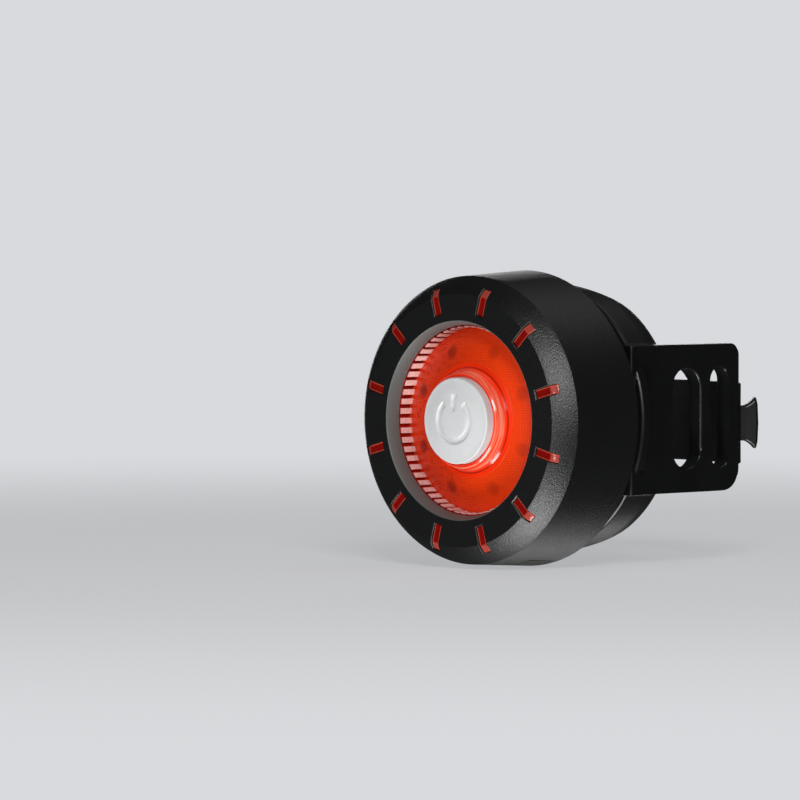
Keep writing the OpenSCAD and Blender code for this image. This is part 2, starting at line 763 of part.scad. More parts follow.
// Round form of the cradle: a disc in front that narrows over the sides of the clamp
module saddle_form(inset) {
    forward() rotate_extrude() polygon(concat([[0, saddle_end], [0, dish_front],
        [dish_r - 0.5, dish_front], [dish_r - 0.15, dish_front - 0.15],
        [dish_r - inset, dish_front - 0.5]], [for (a = [0 : 10 : 90])
        [saddle_r - inset + (dish_r - saddle_r) * cos(a),
        skirt_end - (skirt_end - saddle_end) * sin(a)]]));
}

// Rubber cradle: round dish for the dock, saddle for the liner and a wing on each side
module cradle() {
    color("#202224") difference() {
        union() {
            difference() {
                saddle_form(0);
                for (side = [0, 1]) mirror([side, 0, 0]) {
                    translate([wing_x - 0.3, -dish_step, -dish_r - 1])
                        cube([dish_r, dish_step, 2 * dish_r + 2]);
                    translate([slot_floor_x, 0, 0]) rotate([90, 0, 90])
                        linear_extrude(dish_r) slot(slot_a_y, slot_a_w);
                }
            }
            wing();
            mirror([1, 0, 0]) wing();
        }
        cylinder(r = groove_r, h = 3 * dish_r, center = true);
        forward() translate([0, 0, dock_back]) cylinder(r = dock_r + seat_gap, h = face);
        forward() at_dock_screws() cylinder(r = screw_r + seat_gap, h = dock_screw_l + 0.4);
    }
}

// Soft liner in the cradle, the front of the clamp
module saddle_pad() {
    color("#3a3c3e") intersection() {
        translate([0, 0, -dish_r]) linear_extrude(2 * dish_r) ring_sector(clamp_r,
            groove_r - seat_gap, 270 - pad_half_angle, 270 + pad_half_angle);
        forward() cylinder(r = pad_r, h = face);
        saddle_form(0.4);
    }
}

// Stretched silicone band, the back of the clamp, buttoned over both hooks
module rear_band() {
    out = [cos(leave_angle), sin(leave_angle)];
    lap = 0.05 * [-out[1], out[0]];
    color("#1a1b1d") translate([0, 0, -band_drop]) difference() {
        linear_extrude(band_h, center = true) {
            ring_sector(clamp_r, clamp_r + band_t, leave_angle, 180 - leave_angle);
            for (side = [0, 1]) mirror([side, 0]) {
                translate(bend_c) ring_sector(band_r0, band_r1, band_start, leave_angle);
                polygon([bend_c + band_r0 * out - lap, bend_c + band_r1 * out - lap,
                    (clamp_r + band_t) * out + lap, clamp_r * out + lap]);
            }
        }
        for (side = [0, 1]) mirror([side, 0, 0])
            translate([bend_c[0], bend_c[1], 0]) rotate([0, 0, hook_angle])
                translate([0, -hook_t / 2 - 0.15, -hook_neck - 0.15])
                    cube([2 * bend_r, hook_t + 0.3, 2 * hook_neck + 0.3]);
    }
}

front_housing();
light_guide();
prism_ring();
lens();
button();
reflector_tray();
tact_switch();
switch_stem();
circuit_board();
main_lamps();
guide_lamps();
control_chips();
charging_socket();
port_cover();
battery();
battery_pad();
battery_leads();
housing_seal();
rear_cover();
cover_screws();
dock();
dock_screws();
cradle();
saddle_pad();
rear_band();
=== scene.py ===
import math

import bmesh
import bpy
from mathutils import Matrix, Vector
from mathutils.bvhtree import BVHTree
from mathutils.kdtree import KDTree


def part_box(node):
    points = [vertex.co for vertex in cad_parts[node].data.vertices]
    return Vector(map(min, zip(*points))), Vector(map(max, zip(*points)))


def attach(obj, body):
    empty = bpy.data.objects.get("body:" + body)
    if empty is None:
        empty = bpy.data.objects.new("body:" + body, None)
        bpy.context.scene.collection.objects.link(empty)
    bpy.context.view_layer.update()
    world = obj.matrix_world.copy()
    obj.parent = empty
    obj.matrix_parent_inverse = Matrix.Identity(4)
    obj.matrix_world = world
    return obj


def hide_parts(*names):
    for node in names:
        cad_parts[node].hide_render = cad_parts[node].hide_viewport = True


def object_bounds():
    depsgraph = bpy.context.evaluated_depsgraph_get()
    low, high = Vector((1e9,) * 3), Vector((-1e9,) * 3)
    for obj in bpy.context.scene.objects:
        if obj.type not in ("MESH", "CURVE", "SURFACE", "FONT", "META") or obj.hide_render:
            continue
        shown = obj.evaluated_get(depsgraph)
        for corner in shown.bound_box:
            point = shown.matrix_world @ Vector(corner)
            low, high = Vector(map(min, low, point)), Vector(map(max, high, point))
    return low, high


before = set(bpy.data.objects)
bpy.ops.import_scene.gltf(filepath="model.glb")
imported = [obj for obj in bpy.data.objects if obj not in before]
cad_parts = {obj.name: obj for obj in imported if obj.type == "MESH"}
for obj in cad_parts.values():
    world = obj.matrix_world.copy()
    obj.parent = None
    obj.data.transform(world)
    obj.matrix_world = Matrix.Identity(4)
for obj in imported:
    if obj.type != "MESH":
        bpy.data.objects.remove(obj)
cad_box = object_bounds()


# The setting: the light rests on a pale light table between soft lamps, one of which shines up
# through the table. The camera is a metre away with a long lens, nearly level with the light.
class Wire:
    """One output of a shader node, on which Python's own arithmetic adds Math nodes."""

    def __init__(self, graph, socket):
        self.graph = graph
        self.socket = socket

    def maths(self, operation, *others):
        """A Math node of this operation, with this wire in its first socket."""
        values = dict(enumerate((self,) + others))
        return self.graph.add("ShaderNodeMath", {"operation": operation}, values)

    def __add__(self, other):
        return self.maths("ADD", other)

    def __radd__(self, other):
        return self.maths("ADD", other)

    def __sub__(self, other):
        return self.maths("SUBTRACT", other)

    def __rsub__(self, other):
        return self.maths("MULTIPLY", -1) + other

    def __mul__(self, other):
        return self.maths("MULTIPLY", other)

    def __rmul__(self, other):
        return self.maths("MULTIPLY", other)

    def __truediv__(self, other):
        return self.maths("DIVIDE", other)

    def __pow__(self, other):
        return self.maths("POWER", other)

    def step(self, low, high):
        """0 below low and 1 above high, with a soft passage; high may be the smaller one."""
        limits = {"Value": self, "From Min": low, "From Max": high}
        return self.graph.add("ShaderNodeMapRange", {"interpolation_type": "SMOOTHSTEP"}, limits)


class Graph:
    """A node tree in the making."""

    def __init__(self, tree):
        self.tree = tree

    def add(self, kind, settings=None, sockets=None, output=0):
        """Adds a node, sets its settings first and then its sockets, and gives one output."""
        node = self.tree.nodes.new(kind)
        for key, value in (settings or {}).items():
            setattr(node, key, value)
        for key, value in (sockets or {}).items():
            self.feed(node.inputs[key], value)
        return Wire(self, node.outputs[output])

    def feed(self, socket, value):
        """Links a wire to a socket, or sets the socket to a plain value."""
        if isinstance(value, Wire):
            self.tree.links.new(value.socket, socket)
        else:
            socket.default_value = value

    def mix(self, share, first, second):
        """The first colour where share is 0 and the second where it is 1."""
        # On this node the two colours are sockets 6 and 7, and the mixed colour is output 2.
        sockets = {0: share, 6: first, 7: second}
        return self.add("ShaderNodeMix", {"data_type": "RGBA"}, sockets, output=2)

    def in_sight(self):
        """1 for rays from the camera, also those that went through glass, and 0 for all others."""
        straight = self.add("ShaderNodeLightPath", output="Is Camera Ray")
        return straight + self.add("ShaderNodeLightPath", output="Is Transmission Ray")


def tone(red, green, blue):
    """A colour as it looks on a screen, from 0 to 255, as the linear colour that a shader takes."""
    parts = [value / 255 for value in (red, green, blue)]
    return tuple(p / 12.92 if p < 0.04045 else ((p + 0.055) / 1.055) ** 2.4 for p in parts) + (1,)


BACKDROP = tone(216, 218, 221)
TABLE_TOP = tone(238, 239, 241)
AIR_LIGHT = 0.035
TABLE_RADIUS = 8
TABLE_SIDES = 96
TABLE_GLOW = 0.6
GLOW_STARTS = 0.10
GLOW_IS_FULL = 0.42
CAMERA_TURN = math.radians(43.73)
CAMERA_RISE = math.radians(1.91)
CAMERA_AWAY = 0.985
CAMERA_LENS = 288.2
CAMERA_LEFT = 0.03336
CAMERA_UP = 0.00224

scene = bpy.context.scene
scene.view_settings.view_transform = "Standard"
back = Vector((math.sin(CAMERA_TURN) * math.cos(CAMERA_RISE),
               -math.cos(CAMERA_TURN) * math.cos(CAMERA_RISE), math.sin(CAMERA_RISE)))
right = Vector((math.cos(CAMERA_TURN), math.sin(CAMERA_TURN), 0))
up = back.cross(right)
camera = bpy.data.objects.new("camera", bpy.data.cameras.new("camera"))
camera.data.lens = CAMERA_LENS
camera.data.clip_start = 0.01
camera.matrix_world = (Matrix.Translation(back * CAMERA_AWAY - right * CAMERA_LEFT + up * CAMERA_UP)
                       @ Matrix((right, up, back)).transposed().to_4x4())
scene.collection.objects.link(camera)
scene.camera = camera

# The pale backdrop and the table are there for the camera alone. Light and reflections pass them
# by, so the black rubber and plastic stay black.
world = bpy.data.worlds.new("studio_air")
world.use_nodes = True
scene.world = world
air = Graph(world.node_tree)
faint = air.add("ShaderNodeBackground", {}, {"Color": (1, 1, 1, 1), "Strength": AIR_LIGHT})
pale = air.add("ShaderNodeBackground", {}, {"Color": BACKDROP, "Strength": 1.0})
backdrop = air.add("ShaderNodeMixShader", {}, {0: air.in_sight(), 1: faint, 2: pale})
air.feed(world.node_tree.nodes["World Output"].inputs["Surface"], backdrop)


def softbox(name, place, width, height, power):
    """A flat lamp that faces the middle of the light."""
    lamp = bpy.data.lights.new(name, "AREA")
    lamp.shape = "RECTANGLE"
    lamp.size = width
    lamp.size_y = height
    lamp.energy = power
    stand = bpy.data.objects.new(name, lamp)
    stand.matrix_world = (Matrix.Translation(place)
                          @ Vector(place).to_track_quat("Z", "Y").to_matrix().to_4x4())
    scene.collection.objects.link(stand)


# The key lamp lights the face and the bevel, and low the underside through the table. The others
# are weak: front fills in, top, rim and behind light the edges, and strip is narrow.
softbox("key", (0.52, -0.50, 0.36), 0.26, 0.28, 3.4)
softbox("low", (0.14, -0.36, -0.70), 0.40, 0.40, 5.6)
softbox("front", (0.10, -0.80, 0.22), 0.40, 0.40, 0.4)
softbox("top", (0.10, 0.35, 0.75), 0.60, 0.40, 0.5)
softbox("rim", (-0.60, 0.56, 0.08), 0.40, 0.30, 1.2)
softbox("strip", (0.22, -0.68, -0.14), 0.05, 0.40, 0.8)
softbox("behind", (-0.20, 0.45, -0.55), 0.30, 0.20, 0.5)

floor_form = bmesh.new()
bmesh.ops.create_circle(floor_form, cap_ends=True, segments=TABLE_SIDES, radius=TABLE_RADIUS)
bmesh.ops.translate(floor_form, verts=floor_form.verts, vec=(0, 0, cad_box[0][2]))
floor_mesh = bpy.data.meshes.new("floor")
floor_form.to_mesh(floor_mesh)
floor_form.free()
floor = bpy.data.objects.new("floor", floor_mesh)
scene.collection.objects.link(floor)
floor_paint = bpy.data.materials.new("floor_paint")
floor_paint.use_nodes = True
table = Graph(floor_paint.node_tree)
matte = floor_paint.node_tree.nodes["Principled BSDF"]
matte.inputs["Base Color"].default_value = TABLE_TOP
matte.inputs["Roughness"].default_value = 0.9
matte.inputs["Specular IOR Level"].default_value = 0
glow = table.add("ShaderNodeEmission", {}, {"Color": BACKDROP, "Strength": 1.0})
table_spot = table.add("ShaderNodeTexCoord", {}, {}, output="Object")
away = table.add("ShaderNodeVectorMath", {"operation": "LENGTH"}, {0: table_spot}, output="Value")
glowing = away.step(GLOW_STARTS, GLOW_IS_FULL) * (1 - TABLE_GLOW) + TABLE_GLOW
table_face = table.add("ShaderNodeMixShader", {},
                       {0: glowing, 1: Wire(table, matte.outputs[0]), 2: glow})
unseen = table.add("ShaderNodeBsdfTransparent", {}, {"Color": (1, 1, 1, 1)})
from_below = table.add("ShaderNodeNewGeometry", {}, {}, output="Backfacing")
table_look = table.add("ShaderNodeMixShader", {},
                       {0: table.in_sight() * (1 - from_below), 1: unseen, 2: table_face})
table.feed(floor_paint.node_tree.nodes["Material Output"].inputs["Surface"], table_look)
floor_mesh.materials.append(floor_paint)


# The cradle: one moulding of black rubber, with a round dish in front and a wing on each side that
# has two upright slots and a fishtail hook. It is injection moulded, so its edges are soft.
MM = 0.001

# Corners nearer than WELD are one, faces that turn by less than FLAT are one face, and edges that
# turn by more than SHARP are rounded.
WELD = 0.004 * MM
FLAT = math.radians(0.5)
SHARP = math.radians(35)
ROUNDING_TRIES = 6


class Finish(Graph):
    """A material with one Principled shader, which reads the object's own coordinates."""

    def __init__(self, name, constants):
        self.material = bpy.data.materials.new(name)
        self.material.use_nodes = True
        super().__init__(self.material.node_tree)
        self.shader = self.tree.nodes["Principled BSDF"]
        self.spot = self.add("ShaderNodeTexCoord", {}, {}, output="Object")
        axes = self.tree.nodes.new("ShaderNodeSeparateXYZ")
        self.feed(axes.inputs[0], self.spot)
        self.x, self.y, self.z = (Wire(self, socket) for socket in axes.outputs)
        self.paint(constants)

    def paint(self, looks):
        """Sets sockets of the shader to wires or plain values."""
        for key, value in looks.items():
            self.feed(self.shader.inputs[key], value)

    def cloud(self, size, detail=2, rough=0.5, stretch=(1, 1, 1)):
        """Noise from 0 to 1 whose blots are about this size, longer where stretch is larger."""
        grown = self.add("ShaderNodeVectorMath", {"operation": "DIVIDE"},
                         {0: self.spot, 1: tuple(size * s for s in stretch)})
        return self.add("ShaderNodeTexNoise", {},
                        {"Vector": grown, "Scale": 1, "Detail": detail, "Roughness": rough})

    def relief(self, height, depth):
        """Lets a height from 0 to 1 stand this far out of the surface."""
        sockets = {"Height": height, "Distance": depth, "Strength": 1}
        self.paint({"Normal": self.add("ShaderNodeBump", {}, sockets)})

    def dress(self, node):
        """Gives the finish to a CAD node whose own mesh stays."""
        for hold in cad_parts[node].material_slots:
            hold.material = self.material


def merged_copy(node):
    """The CAD solid as one welded mesh, with its flat faces whole."""
    form = bmesh.new()
    form.from_mesh(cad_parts[node].data)
    bmesh.ops.remove_doubles(form, verts=form.verts, dist=WELD)
    bmesh.ops.dissolve_limit(form, verts=form.verts, edges=form.edges, angle_limit=FLAT,
                             use_dissolve_boundaries=False)
    return form


def round_off(form, numbers, radius, segments):
    """Rounds the edges that have these numbers."""
    form.edges.ensure_lookup_table()
    bmesh.ops.bevel(form, geom=[form.edges[number] for number in numbers], offset=radius,
                    segments=segments, profile=0.5, affect="EDGES", material=-1,
                    clamp_overlap=False, loop_slide=True)


def crossings(form):
    """Cuts the form into triangles, and gives the places where two that don't touch cross."""
    bmesh.ops.triangulate(form, faces=form.faces)
    form.faces.ensure_lookup_table()
    tree = BVHTree.FromBMesh(form)
    places = []
    for number, other in tree.overlap(tree):
        face = form.faces[number]
        if not set(face.verts) & set(form.faces[other].verts):
            places.append(face.calc_center_median())
    return places


def soften(form, radius, segments):
    """Rounds the sharp edges of a form, where the rounding fits.

    Each try rounds a copy, looks for faces that now cross each other and leaves out the edges
    that end near them.
    """
    form.edges.index_update()
    form.edges.ensure_lookup_table()
    numbers = [edge.index for edge in form.edges
               if edge.is_manifold and edge.calc_face_angle() > SHARP]
    too_near = radius * 2
    for attempt in range(ROUNDING_TRIES):
        trial = form.copy()
        round_off(trial, numbers, radius, segments)
        crowded = crossings(trial)
        trial.free()
        if not crowded:
            break
        near = KDTree(len(crowded))
        for index, place in enumerate(crowded):
            near.insert(place, index)
        near.balance()
        numbers = [number for number in numbers
                   if min(near.find(v.co)[2] for v in form.edges[number].verts) > too_near]
    round_off(form, numbers, radius, segments)


def place_piece(form, name, node, body, finish, shade=None):
    """Puts a finished mesh in the scene in place of its CAD node.

    Where no function is given to set its normals, the larger faces lead them.
    """
    mesh = bpy.data.meshes.new(name)
    form.to_mesh(mesh)
    form.free()
    mesh.materials.append(finish.material)
    mesh.shade_smooth()
    mesh.set_sharp_from_angle(angle=SHARP)
    piece = bpy.data.objects.new(name, mesh)
    scene.collection.objects.link(piece)
    if shade:
        shade(mesh)
    else:
        evener = piece.modifiers.new("even_faces", "WEIGHTED_NORMAL")
        evener.keep_sharp = True
    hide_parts(node)
    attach(piece, body)


CRADLE_EDGE = 0.45 * MM
CRADLE_TIGHT_EDGE = 0.2 * MM
cradle = merged_copy("cradle")
soften(cradle, CRADLE_EDGE, 4)
soften(cradle, CRADLE_TIGHT_EDGE, 3)
rubber = Finish("cradle_rubber", {"Specular IOR Level": 0.6})
haze = rubber.cloud(5 * MM, detail=4)
skin = rubber.cloud(0.35 * MM)
dust = rubber.cloud(1.1 * MM, detail=6, rough=0.8).step(0.66, 0.80)
clean_rubber = rubber.mix(haze, tone(7, 8, 9), tone(18, 19, 20))
rubber.paint({"Base Color": rubber.mix(dust * 0.25, clean_rubber, tone(120, 118, 112)),
              "Roughness": 0.30 + haze * 0.14 + dust * 0.2})
rubber.relief(skin * 0.7 + haze * 0.3, 0.016 * MM)
place_piece(cradle, "cradle_moulding", "cradle", "bracket", rubber)


# The liner: a thin curved pad of softer rubber, laid in the hollow of the cradle. Shallow level
# grooves are moulded in its inner face, so that it grips when it is wet.
LINER_GROOVES = 11
GROOVE_PITCH = 3.1 * MM
GROOVE_WIDTH = 0.9 * MM
GROOVE_DEPTH = 0.25 * MM
GROOVE_SLANT = 0.12 * MM
INNER_FACE_SLACK = 0.05 * MM
CUT_MERGE = 0.0001 * MM
liner = merged_copy("saddle_pad")
inner_r = min(math.hypot(v.co.x, v.co.y) for v in liner.verts)
middle_row = (LINER_GROOVES - 1) / 2
for row in range(LINER_GROOVES):
    for side in (-1, 1):
        level = (row - middle_row) * GROOVE_PITCH + side * GROOVE_WIDTH / 2
        bmesh.ops.bisect_plane(liner, geom=liner.verts[:] + liner.edges[:] + liner.faces[:],
                               plane_co=(0, 0, level), plane_no=(0, 0, 1), dist=CUT_MERGE)
grooves = []
for face in liner.faces:
    middle = face.calc_center_median()
    on_inner_face = math.hypot(middle.x, middle.y) < inner_r + INNER_FACE_SLACK
    row = middle.z / GROOVE_PITCH + middle_row
    if on_inner_face and abs(row - round(row)) * GROOVE_PITCH < GROOVE_WIDTH / 2:
        grooves.append(face)
bmesh.ops.inset_region(liner, faces=grooves, thickness=GROOVE_SLANT, depth=-GROOVE_DEPTH,
                       use_even_offset=True, use_boundary=True)
soft_grip = Finish("liner_rubber", {"Specular IOR Level": 0.4})
worn = soft_grip.cloud(2.5 * MM, detail=4)
pores = soft_grip.cloud(0.25 * MM)
soft_grip.paint({"Base Color": soft_grip.mix(worn, tone(44, 45, 47), tone(60, 61, 63)),
                 "Roughness": 0.62 + worn * 0.15})
soft_grip.relief(pores, 0.015 * MM)
place_piece(liner, "liner_pad", "saddle_pad", "bracket", soft_grip)


# The band: a strap of silicone rubber, stretched round the back and buttoned over both hooks. Its
# skin is smoother than the cradle's and shows faint lines along the pull.
STRAP_EDGE = 0.3 * MM
strap = merged_copy("rear_band")
soften(strap, STRAP_EDGE, 3)
silicone = Finish("band_rubber", {"Specular IOR Level": 0.5})
pull = silicone.cloud(0.5 * MM, detail=3, stretch=(12, 12, 1))
bloom = silicone.cloud(4 * MM, detail=4)
silicone.paint({"Base Color": silicone.mix(bloom, tone(12, 12, 13), tone(24, 24, 25)),
                "Roughness": 0.34 + pull * 0.12 + bloom * 0.08})
silicone.relief(pull, 0.02 * MM)
place_piece(strap, "band_strap", "rear_band", "bracket", silicone)


# The dock: a hard black disc pressed into the cradle's dish and held by four screws. Its three
# entries and the tabs between them take the lugs of the light's twist foot.
def moulded(name, darker, lighter, grain, depth, roughness):
    """A hard moulded plastic with a spark-etched grain and slightly uneven colour."""
    plastic = Finish(name, {"Specular IOR Level": 0.5})
    drift = plastic.cloud(4 * MM, detail=4)
    etch = plastic.cloud(grain, detail=2, rough=0.6)
    plastic.paint({"Base Color": plastic.mix(drift * 0.6 + etch * 0.4, darker, lighter),
                   "Roughness": roughness + etch * 0.12})
    plastic.relief(etch, depth)
    return plastic


DOCK_EDGE = 0.12 * MM
dock = merged_copy("dock")
soften(dock, DOCK_EDGE, 2)
dock_plastic = moulded("dock_plastic", tone(34, 35, 37), tone(46, 47, 49),
                       grain=0.2 * MM, depth=0.01 * MM, roughness=0.42)
place_piece(dock, "dock_plate", "dock", "bracket", dock_plastic)


# The screws of the dock and of the rear cover: small countersunk steel screws, zinc plated, with
# fine rings from turning on their heads.
zinc = Finish("screw_steel", {"Metallic": 1.0})
tarnish = zinc.cloud(0.6 * MM, detail=4)
lathe = zinc.cloud(0.08 * MM, stretch=(1, 6, 1))
zinc.paint({"Base Color": zinc.mix(tarnish, tone(150, 152, 156), tone(186, 187, 188)),
            "Roughness": 0.28 + tarnish * 0.2})
zinc.relief(lathe, 0.004 * MM)
zinc.dress("dock_screws")
zinc.dress("cover_screws")


# The rear cover: the matte black disc that closes the housing from behind, with the twist foot
# moulded on it. Three screws draw it against the seal.
def even_normals(mesh, slope=(0, 0), share=0):
    """Normals for a form turned round the light's axis, whose long faces would shade in streaks.

    Slanting faces lean by this share towards one slope, given as outward and backward parts.
    """
    # Faces that point round the axis are left alone, square ones look outwards or along it.
    most_sideways = 0.05
    least_square = 0.97
    least_slanting = 0.3
    axis = Vector((0, 1, 0))
    normals = [corner.vector.copy() for corner in mesh.corner_normals]
    for face in mesh.polygons:
        outward = (face.center - face.center.project(axis)).normalized()
        if abs(face.normal.dot(outward.cross(axis))) > most_sideways:
            continue
        backward_part = face.normal.dot(axis)
        outward_part = face.normal.dot(outward)
        square = max(abs(outward_part), abs(backward_part)) > least_square
        slanting = outward_part > least_slanting and backward_part < -least_slanting
        for corner in face.loop_indices:
            place = mesh.vertices[mesh.loops[corner].vertex_index].co
            outward = (place - place.project(axis)).normalized()
            if square:
                normals[corner] = outward * outward_part + axis * backward_part
            else:
                sideways = outward.cross(axis)
                normals[corner] -= sideways * normals[corner].dot(sideways)
                if share and slanting:
                    straight = outward * slope[0] + axis * slope[1]
                    normals[corner] = normals[corner].lerp(straight, share)
            normals[corner].normalize()
    mesh.normals_split_custom_set(normals)


COVER_EDGE = 0.15 * MM
cover = merged_copy("rear_cover")
soften(cover, COVER_EDGE, 2)
cover_plastic = moulded("cover_plastic", tone(14, 15, 16), tone(28, 29, 30),
                        grain=0.25 * MM, depth=0.012 * MM, roughness=0.44)
place_piece(cover, "cover_disc", "rear_cover", "light", cover_plastic,
            shade=even_normals)


# The seal: a thin red-brown silicone cord laid in the housing's rear groove. The cover presses it
# flat, which keeps water out.
seal = Finish("seal_rubber", {"Specular IOR Level": 0.4})
speck = seal.cloud(0.3 * MM, detail=3)
seal.paint({"Base Color": seal.mix(speck, tone(112, 38, 30), tone(140, 56, 44)),
            "Roughness": 0.45 + speck * 0.15})
seal.relief(speck, 0.01 * MM)
seal.dress("housing_seal")


# The battery: a flat lithium pouch in crinkled silver foil, held behind the board on a pad of
# closed-cell foam, with two soldered leads.
foil = Finish("battery_foil", {"Metallic": 0.9})
crinkle = foil.cloud(1.6 * MM, detail=5, rough=0.6)
press = foil.cloud(7 * MM, detail=2)
foil.paint({"Base Color": foil.mix(press, tone(176, 180, 186), tone(204, 206, 210)),
            "Roughness": 0.26 + crinkle * 0.2})
foil.relief(crinkle * 0.6 + press * 0.4, 0.06 * MM)
foil.dress("battery")

FOAM_BUBBLE = 0.35 * MM
foam = Finish("pad_foam", {"Specular IOR Level": 0.2})
bubbles = foam.add("ShaderNodeTexVoronoi", {}, {"Vector": foam.spot, "Scale": 1 / FOAM_BUBBLE})
bubble_walls = bubbles.step(0.1, 0.6)
foam.paint({"Base Color": foam.mix(bubble_walls, tone(58, 60, 63), tone(92, 95, 98)),
            "Roughness": 0.92})
foam.relief(1 - bubble_walls, 0.05 * MM)
foam.dress("battery_pad")

LEAD_SPLIT = -5 * MM
LEAD_BLEND = 0.1 * MM
insulation = Finish("lead_insulation", {"Roughness": 0.35})
wrinkle = insulation.cloud(0.4 * MM, detail=3)
red_lead = insulation.mix(wrinkle, tone(150, 20, 18), tone(186, 34, 28))
red_side = insulation.x.step(LEAD_SPLIT - LEAD_BLEND, LEAD_SPLIT + LEAD_BLEND)
insulation.paint({"Base Color": insulation.mix(red_side, tone(24, 24, 26), red_lead)})
insulation.relief(wrinkle, 0.01 * MM)
insulation.dress("battery_leads")


# The circuit board: a round green board. Its copper tracks show as raised lines under the mask,
# and the bare glass fibre shows at its edge.
def from_axis(finish):
    """Distance from the axis of the light."""
    return (finish.x * finish.x + finish.z * finish.z) ** 0.5


TRACK_PITCH = 1.27 * MM
VIA_PITCH = 2.4 * MM
board_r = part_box("circuit_board")[1].x
mask = Finish("board_mask", {"Coat Weight": 0.4, "Coat Roughness": 0.2})
lane = (mask.x / TRACK_PITCH).maths("FRACT")
runs = mask.cloud(3.2 * MM, detail=0).step(0.47, 0.53)
tracks = (lane - 0.5).maths("ABSOLUTE").step(0.26, 0.18) * runs
via_cells = mask.add("ShaderNodeTexVoronoi", {}, {"Vector": mask.spot, "Scale": 1 / VIA_PITCH})
vias = via_cells.step(0.16, 0.10)
bare_edge = from_axis(mask).step(board_r - 0.08 * MM, board_r - 0.03 * MM)
green = mask.mix(tracks, tone(18, 74, 48), tone(30, 104, 66))
green = mask.mix(vias, green, tone(196, 170, 96))
mask.paint({"Base Color": mask.mix(bare_edge, green, tone(176, 168, 122)),
            "Roughness": 0.3 + bare_edge * 0.4, "Metallic": vias * (1 - bare_edge)})
mask.relief(tracks, 0.03 * MM)
mask.dress("circuit_board")


# The chips on the back of the board: the controller, the charger and the motion sensor, in black
# epoxy with a faint moulding grain.
epoxy = moulded("chip_epoxy", tone(30, 30, 33), tone(44, 44, 47),
                grain=0.12 * MM, depth=0.006 * MM, roughness=0.4)
epoxy.dress("control_chips")


# The lamps: eight white lamps behind the lens and twelve small red ones under the light guide.
# Each is a pale resin case with its round window of phosphor or red resin in the middle.
def fold(finish, count):
    """Lays every sector round the light's axis onto one: outward and sideways distances."""
    sector = 2 * math.pi / count
    turned = (finish.z.maths("ARCTAN2", finish.x) / sector + count).maths("FRACT")
    bearing = turned * sector - sector / 2
    outward = from_axis(finish)
    return outward * bearing.maths("COSINE"), outward * bearing.maths("SINE")


def round_spots(finish, count, ring, radius, core):
    """A ring of round spots: 0 outside them, 1 in the core, which is this share of the radius."""
    along, across = fold(finish, count)
    off = along - ring
    return ((off * off + across * across) ** 0.5).step(radius, radius * core)


def lamp_resin(name, count, ring, window, glass):
    """Small lamps in a ring, each with its window in the middle."""
    resin = Finish(name, {"Coat Weight": 0.5})
    inside = round_spots(resin, count, ring, window, 0.85)
    fleck = resin.cloud(0.3 * MM, detail=3)
    case = resin.mix(fleck, tone(226, 224, 214), tone(240, 238, 230))
    resin.paint({"Base Color": resin.mix(inside, case, glass),
                 "Roughness": 0.3 + fleck * 0.15 - inside * 0.1})
    resin.relief(1 - inside, 0.1 * MM)
    return resin


MAIN_LAMPS = 8
MAIN_LAMP_RING = 11 * MM
MAIN_LAMP_WINDOW = 1.1 * MM
GUIDE_LAMPS = 12
GUIDE_LAMP_RING = 17.8 * MM
GUIDE_LAMP_WINDOW = 0.32 * MM
white_lamp = lamp_resin("main_lamp", MAIN_LAMPS, MAIN_LAMP_RING, MAIN_LAMP_WINDOW,
                        tone(232, 196, 70))
white_lamp.dress("main_lamps")
red_lamp = lamp_resin("guide_lamp", GUIDE_LAMPS, GUIDE_LAMP_RING, GUIDE_LAMP_WINDOW,
                      tone(200, 40, 30))
red_lamp.dress("guide_lamps")


# The switch: a small square tact switch in black plastic, and its brass-coloured stem, which the
# button's plunger pushes.
switch_plastic = moulded("switch_plastic", tone(48, 48, 50), tone(62, 62, 64),
                         grain=0.15 * MM, depth=0.008 * MM, roughness=0.4)
switch_plastic.dress("tact_switch")
brass = Finish("stem_brass", {"Metallic": 1.0})
polish = brass.cloud(0.3 * MM, detail=3)
brass.paint({"Base Color": brass.mix(polish, tone(196, 160, 84), tone(214, 182, 108)),
             "Roughness": 0.22 + polish * 0.15})
brass.relief(polish, 0.004 * MM)
brass.dress("switch_stem")


# The reflector tray: glossy white plastic that carries the lens and throws the lamps' light
# forwards. It is seen, tinted red, through the lens.
TRAY_EDGE = 0.15 * MM
tray = merged_copy("reflector_tray")
soften(tray, TRAY_EDGE, 2)
tray_white = moulded("tray_white", tone(222, 221, 214), tone(236, 235, 229),
                     grain=0.5 * MM, depth=0.01 * MM, roughness=0.25)
place_piece(tray, "tray_moulding", "reflector_tray", "light", tray_white)


# The charging socket: a drawn steel shell with its contact tongue, soldered to the board's edge.
# It has faint lines along the draw, and dull smudges from handling.
shell = Finish("socket_steel", {"Metallic": 1.0})
drawn = shell.cloud(0.12 * MM, detail=3, stretch=(1, 1, 12))
smudge = shell.cloud(2 * MM, detail=4)
shell.paint({"Base Color": shell.mix(smudge, tone(176, 178, 181), tone(202, 203, 205)),
             "Roughness": 0.24 + drawn * 0.14 + smudge * 0.08})
shell.relief(drawn, 0.004 * MM)
shell.dress("charging_socket")


# The port cover: a soft flap of black silicone, flush with the housing's underside. It swings on
# a barrel at one end, and its plug sits in the socket's mouth.
FLAP_EDGE = 0.12 * MM
flap = merged_copy("port_cover")
soften(flap, FLAP_EDGE, 2)
flap_silicone = Finish("flap_silicone", {"Specular IOR Level": 0.45})
flap_skin = flap_silicone.cloud(0.3 * MM, detail=3)
flap_silicone.paint({"Base Color": flap_silicone.mix(flap_skin, tone(20, 21, 22), tone(30, 31, 32)),
                     "Roughness": 0.5 + flap_skin * 0.12})
flap_silicone.relief(flap_skin, 0.012 * MM)
place_piece(flap, "port_flap_cover", "port_cover", "port_flap", flap_silicone)


